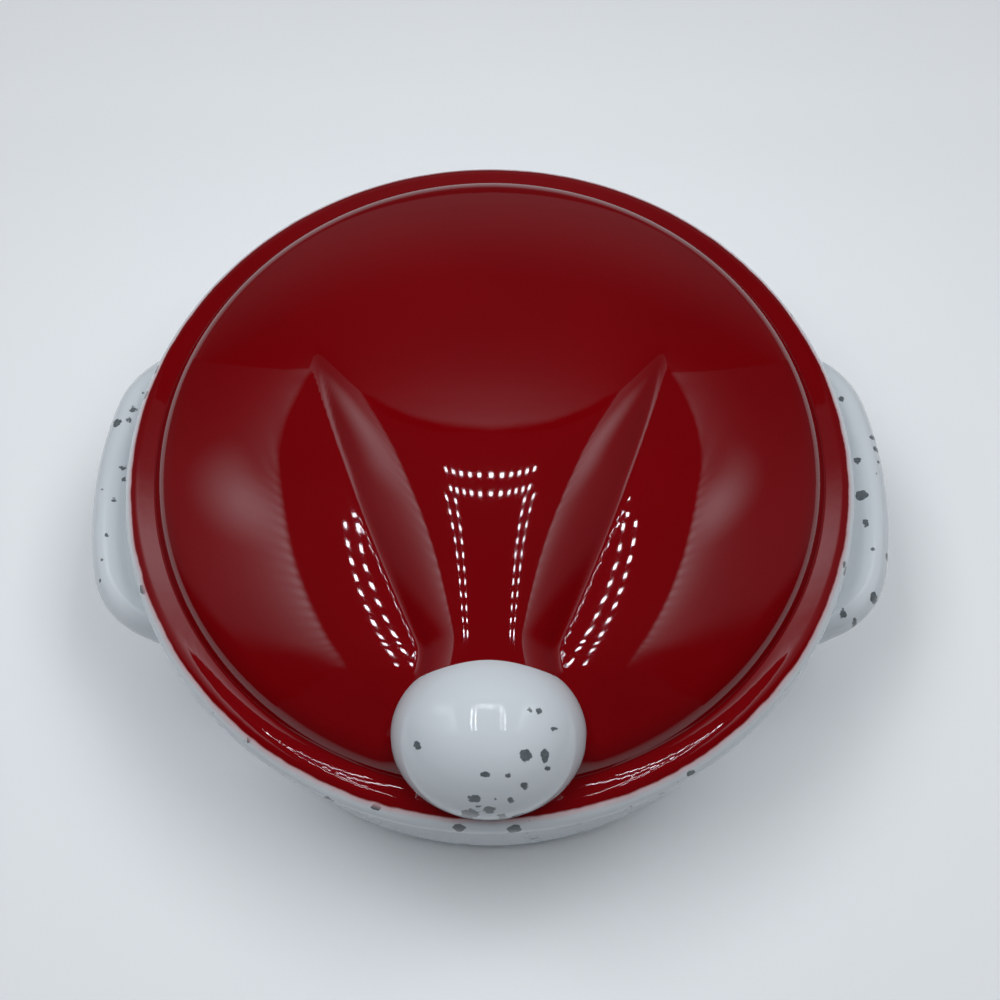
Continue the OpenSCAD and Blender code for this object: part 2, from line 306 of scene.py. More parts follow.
red_ripple = add(
    red, "ShaderNodeMapRange", {0: red_front.outputs[1], 1: -55 * MM, 2: -30 * MM, 3: 0.3, 4: 0.12})
red_lumps = add(
    red, "ShaderNodeMapRange",
    {0: from_axis, 1: CREASE_R * MM, 2: GLAZE_LINE * MM, 3: 0.02, 4: red_ripple.outputs[0]})
red_bump = add(
    red, "ShaderNodeBump",
    {"Height": red_peel.outputs[0], "Strength": red_lumps.outputs[0], "Distance": 0.2 * MM})
red_shader = add(red, "ShaderNodeBsdfPrincipled", {
    "Base Color": hat_colour.outputs[2], "Roughness": red_gloss.outputs[0], "IOR": 1.5,
    "Normal": red_bump.outputs[0]})
add(red, "ShaderNodeOutputMaterial", {"Surface": red_shader.outputs[0]})

# Bare stoneware on the foot and under the locating ring: wiped clean before firing, warm, matt and sandy.
bare, sand = new_material("bare_stoneware")
sand_place = add(sand, "ShaderNodeTexCoord").outputs["Object"]
sand_grit = add(sand, "ShaderNodeTexNoise", {"Vector": sand_place, "Scale": 1 / (0.7 * MM), "Detail": 4.0})
sand_colour = add(
    sand, "ShaderNodeMix", {"Factor": sand_grit.outputs[0], 6: colour("#B8A88F"), 7: colour("#D8CBB5")},
    data_type="RGBA")
sand_bump = add(
    sand, "ShaderNodeBump", {"Height": sand_grit.outputs[0], "Strength": 0.4, "Distance": 0.15 * MM})
sand_shader = add(sand, "ShaderNodeBsdfPrincipled", {
    "Base Color": sand_colour.outputs[2], "Roughness": 0.8, "IOR": 1.5, "Normal": sand_bump.outputs[0]})
add(sand, "ShaderNodeOutputMaterial", {"Surface": sand_shader.outputs[0]})

# How finely a profile is drawn: degrees of an arc for each step, then millimetres.
ARC_STEP = 7.0
ARC_LEAD = 0.3
POINTS_APART = 0.02


def rounded(corners):
    """Points of a line through corners (r, z, rounding), with an arc in each rounded corner and a point
    close to the arc's ends, so that flat stretches shade flat."""
    points = [np.array(corners[0][:2])]
    for before, corner, after in zip(corners, corners[1:], corners[2:]):
        here = np.array(corner[:2])
        to_before = np.array(before[:2]) - here
        to_after = np.array(after[:2]) - here
        to_before /= np.linalg.norm(to_before)
        to_after /= np.linalg.norm(to_after)
        opening = math.acos(np.clip(to_before @ to_after, -1, 1))
        turn = math.pi - opening
        reach = corner[2] / math.tan(opening / 2)
        middle = (to_before + to_after) / np.linalg.norm(to_before + to_after)
        centre = here + middle * corner[2] / math.sin(opening / 2)
        start = here + to_before * reach - centre
        end = here + to_after * reach - centre
        count = max(3, round(math.degrees(turn) / ARC_STEP))
        points.append(centre + start + to_before * ARC_LEAD)
        for i in range(count + 1):
            f = i / count
            from_start = math.sin((1 - f) * turn) / math.sin(turn)
            from_end = math.sin(f * turn) / math.sin(turn)
            points.append(centre + (from_start * start + from_end * end))
        points.append(centre + end + to_after * ARC_LEAD)
    points.append(np.array(corners[-1][:2]))
    return [p for i, p in enumerate(points) if i == 0 or np.linalg.norm(p - points[i - 1]) > POINTS_APART]


def revolve(profile, sectors):
    """Points and faces of a profile turned about the axis. The solid lies on the profile's left."""
    points = []
    rows = []
    for r, z in profile:
        if r < 1e-6:
            rows.append([len(points)] * sectors)
            points.append((0.0, 0.0, z))
            continue
        rows.append([len(points) + j for j in range(sectors)])
        for j in range(sectors):
            a = 2 * math.pi * j / sectors
            points.append((r * math.cos(a), r * math.sin(a), z))
    faces = []
    for low, high in zip(rows, rows[1:]):
        for j in range(sectors):
            k = (j + 1) % sectors
            face = [low[j], low[k], high[k], high[j]]
            faces.append(list(dict.fromkeys(face)))
    return points, faces


def piece(name, points, faces, materials, merge=0.0):
    """A smooth mesh object from points in millimetres, with its normals turned outwards."""
    mesh = bpy.data.meshes.new(name)
    mesh.from_pydata([(x * MM, y * MM, z * MM) for x, y, z in points], [], faces)
    if merge:
        work = bmesh.new()
        work.from_mesh(mesh)
        bmesh.ops.remove_doubles(work, verts=work.verts, dist=merge * MM)
        bmesh.ops.recalc_face_normals(work, faces=work.faces)
        work.to_mesh(mesh)
        work.free()
    mesh.shade_smooth()
    for material in materials:
        mesh.materials.append(material)
    made = bpy.data.objects.new(name, mesh)
    scene.collection.objects.link(made)
    return made


# Dish: one profile turned about the axis, from the middle of the underside round the foot, the wall and the
# rim to the middle of the floor.
dish_profile = rounded([
    (0, FOOT_H),
    (FOOT_IN, FOOT_H, FOOT_CORNER),
    (FOOT_IN, 0, FOOT_ROUND),
    (FOOT_OUT, 0, FOOT_ROUND),
    (FOOT_OUT, FOOT_H, FOOT_CORNER),
    (RIM_R - (RIM_Z - FOOT_H) * WALL_LEAN, FOOT_H, BASE_ROUND),
    (RIM_R, RIM_Z, RIM_ROUND),
    (RIM_R - WALL, RIM_Z, RIM_ROUND),
    (RIM_R - WALL - (RIM_Z - FLOOR_Z) * WALL_LEAN, FLOOR_Z, BOWL_ROUND),
    (0, FLOOR_Z),
])
dish = piece("dish", *revolve(dish_profile, TURN_SECTORS), [glaze_white, bare])
for face in dish.data.polygons:
    if max(dish.data.vertices[v].co.z for v in face.vertices) < FOOT_BARE * MM:
        face.material_index = 1

# How many lines the mesh of a handle has, along its bends, front and legs, round its edge and across its web,
# and how close its points may come before they are merged.
BEND_LINES = 28
FRONT_LINES = 52
LEG_LINES = 22
ROUND_LINES = 33
WEB_LINES = 26
LUG_MERGE = 0.005


def lug(name, side, materials):
    """A lug handle: a rounded edge follows a path out of the wall, round two corners and back, and a
    slightly lower web fills it. Every line ends inside the wall, and a fillet swells where the lug meets
    the wall."""
    inside = RIM_R - HANDLE_SUNK
    bend = (HANDLE_R - HANDLE_BEND) * np.array([math.cos(HANDLE_HALF), math.sin(HANDLE_HALF)])
    turns = np.concatenate([
        np.linspace(-HANDLE_SWEEP, -HANDLE_HALF, BEND_LINES)[:-1],
        np.linspace(-HANDLE_HALF, HANDLE_HALF, FRONT_LINES),
        np.linspace(HANDLE_HALF, HANDLE_SWEEP, BEND_LINES)[1:],
    ])
    legs = np.linspace(1, 0, LEG_LINES)[:-1]
    stations = [(-HANDLE_SWEEP, f) for f in legs] + [(a, 0) for a in turns]
    stations += [(HANDLE_SWEEP, f) for f in legs[::-1]]
    round_turns = np.linspace(90, -90, ROUND_LINES)
    web_steps = np.linspace(1, 0, WEB_LINES)[:-1]
    count = len(round_turns) + 2 * len(web_steps)
    points = []
    for a, f in stations:
        out = np.array([math.cos(a), math.sin(a)])
        along = math.copysign(1, a) * np.array([-out[1], out[0]])
        if abs(a) <= HANDLE_HALF:
            middle = HANDLE_R * out
        else:
            middle = bend * (1, math.copysign(1, a)) + HANDLE_BEND * out
        row = []
        for turn in np.radians(round_turns):
            start = middle + EDGE * math.cos(turn) * out
            push = start @ along
            leg = -push - math.sqrt(push ** 2 - start @ start + inside ** 2) if f else 0.0
            row.append((start + along * leg * f, EDGE * math.sin(turn), math.cos(turn), math.sin(turn)))
        top = row[0][0]
        push = top @ out
        depth = push - math.sqrt(max(0.0, push ** 2 - top @ top + inside ** 2))
        for g in web_steps[::-1]:
            d = g * depth
            lip = math.sqrt(max(0.0, EDGE ** 2 - d ** 2))
            h = max(WEB_SOFT - abs(lip - WEB), 0) / WEB_SOFT
            height = max(lip, WEB) + h ** 3 * WEB_SOFT / 6
            row.insert(0, (top - d * out, height, 0.0, 1.0))
            row.append((top - d * out, -height, 0.0, -1.0))
        for place, z, lean, lift in row:
            wall = RIM_R - (RIM_Z - HANDLE_Z - z) * WALL_LEAN
            gap = min(max(np.linalg.norm(place) - wall, 0), HANDLE_FILLET)
            swell = HANDLE_FILLET - math.sqrt(HANDLE_FILLET ** 2 - (HANDLE_FILLET - gap) ** 2)
            spot = place + out * lean * swell
            points.append((side * spot[0], spot[1], HANDLE_Z + z + lift * swell))
    faces = []
    for i in range(len(stations) - 1):
        for j in range(count):
            k = (j + 1) % count
            faces.append([i * count + j, i * count + k, (i + 1) * count + k, (i + 1) * count + j])
    faces.append(list(range(count)))
    last = (len(stations) - 1) * count
    faces.append([last + j for j in range(count - 1, -1, -1)])
    return piece(name, points, faces, materials, merge=LUG_MERGE)


left_lug = lug("left_lug", -1, [glaze_placed])
right_lug = lug("right_lug", 1, [glaze_placed])

# Lid: a flat disc of rings is raised by a node tree to the hat's surface. The tree takes the higher of the
# dome with its folded tip and the sloping edge, with a soft crease between them. The rings are finer from
# the foot of the dome on.
SECTORS = 360
RING_STEP = 0.75
FINE_START = 59.4
FINE_RINGS = 38
split_r = BEAD_X + BEAD_R * math.cos(BEAD_SPLIT)
coarse_radii = np.arange(RING_STEP, FINE_START - RING_STEP / 2, RING_STEP)
ring_radii = [*coarse_radii, *np.linspace(FINE_START, split_r, FINE_RINGS)]
disc_points = [(0.0, 0.0, 0.0)]
for r in ring_radii:
    for j in range(SECTORS):
        a = 2 * math.pi * j / SECTORS
        disc_points.append((r * math.cos(a), r * math.sin(a), 0.0))
disc_faces = [[0, 1 + j, 1 + (j + 1) % SECTORS] for j in range(SECTORS)]
for i in range(len(ring_radii) - 1):
    for j in range(SECTORS):
        k = (j + 1) % SECTORS
        low = 1 + i * SECTORS
        disc_faces.append([low + j, low + SECTORS + j, low + SECTORS + k, low + k])
disc = piece("hat_disc", disc_points, disc_faces, [])

# The flange falls straight from the crease to the rounded edge. At the front it rises again a little before
# the edge, as a gutter 0.2 mm deep.
edge_reach = math.hypot(CREASE_R - BEAD_X, CREASE_Z - BEAD_Z)
edge_turn = math.atan2(CREASE_Z - BEAD_Z, CREASE_R - BEAD_X) - math.acos(BEAD_R / edge_reach)
touch_r = BEAD_X + BEAD_R * math.cos(edge_turn)
touch_z = BEAD_Z + BEAD_R * math.sin(edge_turn)
EDGE_START = 65.25
EDGE_RISE = 0.08
GUTTER_START = -33.0
GUTTER_FULL = -50.0
flange_run = EDGE_START - CREASE_R
flange_drop = CREASE_Z - BEAD_Z - math.sqrt(BEAD_R ** 2 - (EDGE_START - BEAD_X) ** 2)
flange_bend = (flange_drop + EDGE_RISE * flange_run) / flange_run ** 2
flange_fall = EDGE_RISE - 2 * flange_bend * flange_run
hat_sizes = {
    "dome radius": DOME_R * MM,
    "dome middle": DOME_Z * MM,
    "shoulder start": SHOULDER_R * MM,
    "shoulder radius": SHOULDER * MM,
    "shoulder middle": SHOULDER_X * MM,
    "shoulder height": SHOULDER_Z * MM,
    "crease radius": CREASE_R * MM,
    "crease height": CREASE_Z * MM,
    "crease softness": CREASE_SOFT * MM,
    "edge slope": (touch_z - CREASE_Z) / (touch_r - CREASE_R),
    "bead start": touch_r * MM,
    "gutter fall": flange_fall,
    "gutter bend": flange_bend / MM,
    "gutter end": EDGE_START * MM,
    "gutter start": GUTTER_START * MM,
    "gutter run": (GUTTER_START - GUTTER_FULL) * MM,
    "bead radius": BEAD_R * MM,
    "bead middle": BEAD_X * MM,
    "bead height": BEAD_Z * MM,
    "fold start": FOLD_BACK * MM,
    "fold end": -POMPOM_Y * MM,
    "fold half width": FOLD_WIDE * MM,
    "fold waist": FOLD_NARROW * MM,
    "fold flare": FOLD_FLARE * MM,
    "fold lift": FOLD_LIFT * MM,
    "groove depth": GROOVE_DEPTH * MM,
    "groove width": GROOVE_WIDTH * MM,
    "fold close": FOLD_CLOSE * MM,
    "valley softness": FOLD_SOFT * MM,
}
hat = bpy.data.node_groups.new("hat_surface", "GeometryNodeTree")
hat.interface.new_socket(name="Geometry", in_out="INPUT", socket_type="NodeSocketGeometry")
for size_name in hat_sizes:
    hat.interface.new_socket(name=size_name, in_out="INPUT", socket_type="NodeSocketFloat")
hat.interface.new_socket(name="glaze", in_out="INPUT", socket_type="NodeSocketMaterial")
hat.interface.new_socket(name="Geometry", in_out="OUTPUT", socket_type="NodeSocketGeometry")
hat_in = add(hat, "NodeGroupInput")
hat_place = add(hat, "ShaderNodeSeparateXYZ", {0: add(hat, "GeometryNodeInputPosition").outputs[0]})
hat_values = {name: hat_in.outputs[name] for name in hat_sizes}
hat_values["x"] = hat_place.outputs[0]
hat_values["y"] = hat_place.outputs[1]
# Each step names a value and says how it follows from earlier values and plain numbers.
HAT_STEPS = (
    ("x squared", "MULTIPLY", "x", "x"),
    ("r squared", "MULTIPLY_ADD", "y", "y", "x squared"),
    ("r", "SQRT", "r squared"),
    ("crown squared", "MULTIPLY", "dome radius", "dome radius"),
    ("crown left", "SUBTRACT", "crown squared", "r squared"),
    ("crown rise", "SQRT", "crown left"),
    ("crown", "ADD", "dome middle", "crown rise"),
    ("shoulder run", "SUBTRACT", "r", "shoulder middle"),
    ("shoulder run squared", "MULTIPLY", "shoulder run", "shoulder run"),
    ("shoulder squared", "MULTIPLY", "shoulder radius", "shoulder radius"),
    ("shoulder left", "SUBTRACT", "shoulder squared", "shoulder run squared"),
    ("shoulder some", "MAXIMUM", "shoulder left", 0.0),
    ("shoulder rise", "SQRT", "shoulder some"),
    ("beyond crease", "SUBTRACT", "r", "crease radius"),
    ("beyond some", "MAXIMUM", "beyond crease", 0.0),
    ("shoulder top", "ADD", "shoulder height", "shoulder rise"),
    ("shoulder", "MULTIPLY_ADD", "beyond some", -DOME_SKIRT, "shoulder top"),
    ("on shoulder", "GREATER_THAN", "r", "shoulder start"),
    ("shoulder drop", "SUBTRACT", "shoulder", "crown"),
    ("dome", "MULTIPLY_ADD", "on shoulder", "shoulder drop", "crown"),
    ("fold run", "SUBTRACT", "fold start", "y"),
    ("fold length", "SUBTRACT", "fold start", "fold end"),
    ("fold ratio", "DIVIDE", "fold run", "fold length"),
    ("from start", "MAXIMUM", "fold ratio", 0.0),
    ("t", "MINIMUM", "from start", 1.0),
    ("to go", "SUBTRACT", 1.0, "t"),
    ("narrowing", "SUBTRACT", "fold half width", "fold waist"),
    ("bulge", "MULTIPLY_ADD", "t", FOLD_BULGE, 1.0),
    ("wide share", "MULTIPLY", "to go", "bulge"),
    ("plain half", "MULTIPLY_ADD", "narrowing", "wide share", "fold waist"),
    ("flare run", "SUBTRACT", "t", FLARE_START),
    ("flare part", "MAXIMUM", "flare run", 0.0),
    ("flare ratio", "DIVIDE", "flare part", 1 - FLARE_START),
    ("flare share", "POWER", "flare ratio", FLARE_POWER),
    ("half", "MULTIPLY_ADD", "fold flare", "flare share", "plain half"),
    ("before end", "SUBTRACT", "y", "fold end"),
    ("end run", "ADD", "before end", "fold close"),
    ("close twice", "MULTIPLY", "fold close", 2.0),
    ("end ratio", "DIVIDE", "end run", "close twice"),
    ("end low", "MAXIMUM", "end ratio", 0.0),
    ("end", "MINIMUM", "end low", 1.0),
    ("lift run", "SUBTRACT", "t", LIFT_START),
    ("lift ratio", "DIVIDE", "lift run", LIFT_RUN),
    ("lift part", "MAXIMUM", "lift ratio", 0.0),
    ("lift share", "POWER", "lift part", LIFT_POWER),
    ("full lift", "MULTIPLY", "fold lift", "lift share"),
    ("lift", "MULTIPLY", "full lift", "end"),
    ("sink run", "DIVIDE", "t", SINK_RUN),
    ("sink part", "MINIMUM", "sink run", 1.0),
    ("sink turn", "MULTIPLY", "sink part", math.pi / 2),
    ("sink wave", "SINE", "sink turn"),
    ("sink share", "POWER", "sink wave", SINK_POWER),
    ("fill run", "SUBTRACT", "t", FILL_START),
    ("fill ratio", "DIVIDE", "fill run", FILL_RUN),
    ("fill low", "MAXIMUM", "fill ratio", 0.0),
    ("fill part", "MINIMUM", "fill low", 1.0),
    ("fill squared", "MULTIPLY", "fill part", "fill part"),
    ("fill share", "MULTIPLY_ADD", "fill squared", -FILL_SHARE, 1.0),
    ("both shares", "MULTIPLY", "sink share", "fill share"),
    ("full groove", "MULTIPLY", "groove depth", "both shares"),
    ("groove", "MULTIPLY", "full groove", "end"),
    ("height", "ADD", "lift", "groove"),
    ("to go power", "POWER", "to go", FLANK_BACK_POWER),
    ("t power", "POWER", "t", FLANK_FRONT_POWER),
    ("sharp front", "MULTIPLY_ADD", "t power", FLANK_FRONT, FLANK_POWER),
    ("sharpness", "MULTIPLY_ADD", "to go power", FLANK_BACK, "sharp front"),
    ("aside", "ABSOLUTE", "x"),
    ("aside ratio", "DIVIDE", "aside", "half"),
    ("aside part", "MINIMUM", "aside ratio", FLANK_END),
    ("fall share", "POWER", "aside part", "sharpness"),
    ("fall", "MULTIPLY", "height", "fall share"),
    ("above", "SUBTRACT", "lift", "fall"),
    ("fold", "ADD", "dome", "above"),
    ("out run", "SUBTRACT", "aside", "half"),
    ("out ratio", "DIVIDE", "out run", "groove width"),
    ("out low", "MAXIMUM", "out ratio", -GROOVE_UNDER),
    ("out part", "MINIMUM", "out low", 1.0),
    ("out left", "SUBTRACT", 1.0, "out part"),
    ("out share", "MULTIPLY", "out left", "out left"),
    ("below", "MULTIPLY", "groove", "out share"),
    ("body", "SUBTRACT", "dome", "below"),
    ("small valley", "MULTIPLY", "height", VALLEY_SHARE),
    ("valley", "MINIMUM", "small valley", "valley softness"),
    ("valley some", "MAXIMUM", "valley", VALLEY_LEAST * MM),
    ("hat", "SMOOTH_MAX", "fold", "body", "valley some"),
    ("past crease", "MAXIMUM", "beyond crease", -FLANGE_UNDER * MM),
    ("flange", "MULTIPLY_ADD", "past crease", "edge slope", "crease height"),
    ("gutter slope", "MULTIPLY_ADD", "past crease", "gutter bend", "gutter fall"),
    ("gutter", "MULTIPLY_ADD", "past crease", "gutter slope", "crease height"),
    ("bead run", "SUBTRACT", "r", "bead middle"),
    ("bead run squared", "MULTIPLY", "bead run", "bead run"),
    ("bead squared", "MULTIPLY", "bead radius", "bead radius"),
    ("bead left", "SUBTRACT", "bead squared", "bead run squared"),
    ("bead some", "MAXIMUM", "bead left", 0.0),
    ("bead rise", "SQRT", "bead some"),
    ("bead", "ADD", "bead height", "bead rise"),
    ("on bead", "GREATER_THAN", "r", "bead start"),
    ("bead drop", "SUBTRACT", "bead", "flange"),
    ("plain edge", "MULTIPLY_ADD", "on bead", "bead drop", "flange"),
    ("past gutter", "GREATER_THAN", "r", "gutter end"),
    ("gutter drop", "SUBTRACT", "bead", "gutter"),
    ("gutter edge", "MULTIPLY_ADD", "past gutter", "gutter drop", "gutter"),
    ("front run", "SUBTRACT", "gutter start", "y"),
    ("front ratio", "DIVIDE", "front run", "gutter run"),
    ("front low", "MAXIMUM", "front ratio", 0.0),
    ("front part", "MINIMUM", "front low", 1.0),
    ("front turn", "MULTIPLY", "front part", math.pi / 2),
    ("front wave", "SINE", "front turn"),
    ("front share", "MULTIPLY", "front wave", "front wave"),
    ("edge change", "SUBTRACT", "gutter edge", "plain edge"),
    ("edge", "MULTIPLY_ADD", "front share", "edge change", "plain edge"),
    ("surface", "SMOOTH_MAX", "hat", "edge", "crease softness"),
)
for value_name, operation, *inputs in HAT_STEPS:
    given = {i: hat_values.get(v, v) for i, v in enumerate(inputs)}
    hat_values[value_name] = add(hat, "ShaderNodeMath", given, operation=operation).outputs[0]
raised = add(hat, "ShaderNodeCombineXYZ", {0: hat_values["x"], 1: hat_values["y"], 2: hat_values["surface"]})
moved = add(
    hat, "GeometryNodeSetPosition", {"Geometry": hat_in.outputs["Geometry"], "Position": raised.outputs[0]})
real = add(hat, "GeometryNodeRealizeInstances", {"Geometry": moved.outputs[0]})
painted = add(
    hat, "GeometryNodeSetMaterial", {"Geometry": real.outputs[0], "Material": hat_in.outputs["glaze"]})
add(hat, "NodeGroupOutput", {"Geometry": painted.outputs[0]})
raiser = disc.modifiers.new("hat_surface", "NODES")
raiser.node_group = hat
for socket in hat.interface.items_tree:
    if socket.in_out == "INPUT" and socket.name in hat_sizes:
        raiser[socket.identifier] = hat_sizes[socket.name]
    elif socket.in_out == "INPUT" and socket.name == "glaze":
        raiser[socket.identifier] = glaze_red
evaluated = disc.evaluated_get(bpy.context.evaluated_depsgraph_get())
hat_mesh = bpy.data.meshes.new_from_object(evaluated)
bpy.data.objects.remove(disc)

# Underside of the lid: ceiling, locating ring, seat and the lower part of the rounded edge.
CEILING_LINES = 60
BEAD_LINES = 9
LID_MERGE = 0.01
ceiling_r = DOME_R - LID_WALL
ceiling_touch = math.asin((RING_IN - HOLLOW_EASE) / ceiling_r)
ceiling = [
    (ceiling_r * math.sin(a), DOME_Z + ceiling_r * math.cos(a))
    for a in np.linspace(0, ceiling_touch, CEILING_LINES)]
ceiling_end = np.array(ceiling[-1])
ceiling_way = np.array([math.cos(ceiling_touch), -math.sin(ceiling_touch)])
hollow_corner = ceiling_end + ceiling_way * (RING_IN - ceiling_end[0]) / ceiling_way[0]
under = ceiling[:-1] + rounded([
    (*ceiling_end,),
    (*hollow_corner, HOLLOW_ROUND),
    (RING_IN, RIM_Z - RING_DEEP, RING_ROUND),
    (RING_OUT, RIM_Z - RING_DEEP, RING_ROUND),
    (RING_OUT, RIM_Z, SEAT_ROUND),
    (LID_R - BEAD_LOW, RIM_Z),
])
under += [
    (LID_R - BEAD_LOW + BEAD_LOW * math.cos(a), BEAD_Z + BEAD_LOW * math.sin(a))
    for a in np.radians(np.linspace(-80, 0, BEAD_LINES))]
under += [
    (BEAD_X + BEAD_R * math.cos(a), BEAD_Z + BEAD_R * math.sin(a))
    for a in np.linspace(0, BEAD_SPLIT, BEAD_LINES)[1:]]
under_points, under_faces = revolve(under, SECTORS)
underside = piece("lid_underside", under_points, under_faces, [glaze_red, glaze_white, bare])
for face in underside.data.polygons:
    heights = [underside.data.vertices[v].co.z for v in face.vertices]
    face.material_index = 2 if max(heights) < (RIM_Z - RING_DEEP + RING_BARE) * MM else 1
join = bmesh.new()
join.from_mesh(hat_mesh)
join.from_mesh(underside.data)
bmesh.ops.remove_doubles(join, verts=join.verts, dist=LID_MERGE * MM)
lid_mesh = bpy.data.meshes.new("hat_lid")
join.to_mesh(lid_mesh)
join.free()
lid_mesh.shade_smooth()
for material in (glaze_red, glaze_white, bare):
    lid_mesh.materials.append(material)
lid = bpy.data.objects.new("hat_lid", lid_mesh)
scene.collection.objects.link(lid)
bpy.data.objects.remove(underside)

# Pompom: a ball that is wider than thick. Its profile runs from the middle of the flat back, which lies in
# the lid's socket, to the pole. It is turned about the ball's own axis, then widened, tilted and set in
# place.
BALL_LINES = 110
back_turn = math.asin((POMPOM_SUNK - POMPOM_BACK) / POMPOM_BALL)
ball = [(0.0, POMPOM_BALL * math.sin(back_turn))]
ball += [
    (POMPOM_BALL * math.cos(a), POMPOM_BALL * math.sin(a))
    for a in np.linspace(back_turn, math.pi / 2, BALL_LINES)]
ball[-1] = (0.0, POMPOM_BALL)
ball_points, ball_faces = revolve(ball, TURN_SECTORS)
widen = POMPOM_HALF / POMPOM_BALL
lean_cos = math.cos(POMPOM_LEAN)
lean_sin = math.sin(POMPOM_LEAN)
pompom_points = [
    (x * widen,
     y * lean_cos - (z - POMPOM_SUNK) * lean_sin - POMPOM_Y,
     y * lean_sin + (z - POMPOM_SUNK) * lean_cos + POMPOM_Z)
    for x, y, z in ball_points]
pompom = piece("pompom", pompom_points, ball_faces, [glaze_placed])

# Specks placed on the pompom, seen along the camera's way: across, down, half width, half height.
POMPOM_SPECKS = (
    (-11.2, 0.8, 0.65, 0.8), (5.9, 2.4, 1.1, 1.05), (9.0, 2.4, 0.75, 1.15), (6.6, -4.7, 0.5, 0.5),
    (8.0, -4.6, 0.5, 0.55), (10.4, -1.8, 0.6, 0.4), (9.4, 4.4, 0.6, 0.4), (-0.3, 5.3, 0.8, 0.45),
    (3.1, 5.4, 0.5, 0.5), (5.7, 7.1, 0.75, 0.5), (-2.1, 9.0, 1.05, 0.65), (1.2, 9.2, 0.4, 0.35),
    (3.6, 9.3, 0.6, 0.45), (-1.4, 10.3, 0.55, 0.3), (0.2, 10.9, 1.1, 0.6), (-2.9, 11.6, 1.5, 0.9),
    (-1.6, 13.0, 1.1, 0.4), (2.2, 12.1, 0.75, 0.6), (5.2, 12.2, 1.4, 0.6),
)
LEAST_FACING = 0.02


def place_specks(owner, list_of_specks, swell, middle, across, down):
    """Stores how far inside a placed speck each point lies, above 0 inside and below 0 outside. Swell
    enlarges the specks. Only what faces the way the specks are seen from takes them."""
    mesh = owner.data
    co = np.zeros(len(mesh.vertices) * 3, np.float32)
    mesh.vertices.foreach_get("co", co)
    co = co.reshape(-1, 3).astype(float) / MM - np.array(middle)
    u = co @ np.array(across)
    v = co @ np.array(down)
    facing = np.zeros(len(mesh.vertices) * 3, np.float32)
    mesh.vertices.foreach_get("normal", facing)
    up = facing.reshape(-1, 3) @ np.cross(np.array(down), np.array(across)) > LEAST_FACING
    field = np.full(len(co), -1.0)
    for a, b, half_wide, half_high in list_of_specks:
        half_wide *= swell
        half_high *= swell
        size = (half_wide + half_high) / 2
        away = np.hypot((u - a) / half_wide, (v - b) / half_high)
        field = np.maximum(field, np.clip((1 - away) * size, -1, 1))
    field[~up] = -1.0
    stored = mesh.attributes.new("speck", "FLOAT", "POINT")
    stored.data.foreach_set("value", field.astype(np.float32))


# Specks placed on the handles, seen from above: across, towards the front, half width, half height.
LEFT_SPECKS = (
    (-71.0, -20.0, 0.3, 0.35), (-72.5, -16.0, 0.6, 0.6), (-75.5, -13.0, 0.8, 0.8), (-73.0, -13.5, 0.5, 0.5),
    (-73.0, -3.0, 0.55, 0.5), (-72.5, -0.5, 0.4, 0.6), (-76.5, 2.0, 0.4, 0.3), (-74.0, 4.0, 0.6, 0.4),
    (-74.0, 11.5, 0.5, 0.4), (-74.5, 16.5, 0.35, 0.3), (-74.5, 20.5, 0.4, 0.3),
)
RIGHT_SPECKS = (
    (71.5, -18.5, 0.45, 0.55), (77.0, -10.0, 0.65, 0.55), (77.5, -7.5, 0.75, 0.5), (77.5, -4.5, 0.45, 0.35),
    (73.0, -4.5, 0.55, 0.65), (76.5, -1.5, 0.3, 0.3), (73.0, 3.0, 0.95, 0.85), (73.0, 9.0, 0.5, 0.7),
    (73.5, 14.5, 0.35, 0.35), (77.0, 15.5, 0.6, 0.6), (73.0, 24.0, 0.75, 0.9), (66.5, 27.5, 0.65, 0.75),
    (69.0, 28.5, 0.45, 0.6),
)
HANDLE_SWELL = 1.3
ACROSS = (1, 0, 0)
TO_FRONT = (0, -1, 0)
POMPOM_DOWN = (0, -0.975, -0.222)
place_specks(pompom, POMPOM_SPECKS, 1.0, (0, -POMPOM_Y, POMPOM_Z), ACROSS, POMPOM_DOWN)
place_specks(left_lug, LEFT_SPECKS, HANDLE_SWELL, (0, 0, 0), ACROSS, TO_FRONT)
place_specks(right_lug, RIGHT_SPECKS, HANDLE_SWELL, (0, 0, 0), ACROSS, TO_FRONT)

# What each piece stands for, what it moves with and which finish it takes.
for made, node, body, finish in (
    (dish, "dish_bowl", "dish", "white_glaze"),
    (left_lug, "left_handle", "dish", "white_glaze"),
    (right_lug, "right_handle", "dish", "white_glaze"),
    (lid, "lid_shell", "lid", "red_glaze"),
    (pompom, "pompom_knob", "lid", "pompom_glaze"),
):
    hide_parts(node)
    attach(made, body)

# Floor: a wide sheet of pale bluish paper, matt and very slightly cloudy. Far from the dish the camera sees
# it as pale as the background.
FLOOR_HALF = 3000
FLOOR_GAP = 0.05
FADE_START = 240
FADE_END = 480
paper, sheet = new_material("pale_floor_paper")
sheet_place = add(sheet, "ShaderNodeTexCoord").outputs["Object"]
sheet_cloud = add(
    sheet, "ShaderNodeTexNoise", {"Vector": sheet_place, "Scale": 1 / (90 * MM), "Detail": 3.0})
sheet_colour = add(
    sheet, "ShaderNodeMix", {"Factor": sheet_cloud.outputs[0], 6: colour("#EEF3F8"), 7: colour("#F3F7FB")},
    data_type="RGBA")
sheet_shader = add(
    sheet, "ShaderNodeBsdfPrincipled", {"Base Color": sheet_colour.outputs[2], "Roughness": 0.6})
sheet_away = add(sheet, "ShaderNodeVectorMath", {0: sheet_place}, operation="LENGTH").outputs["Value"]
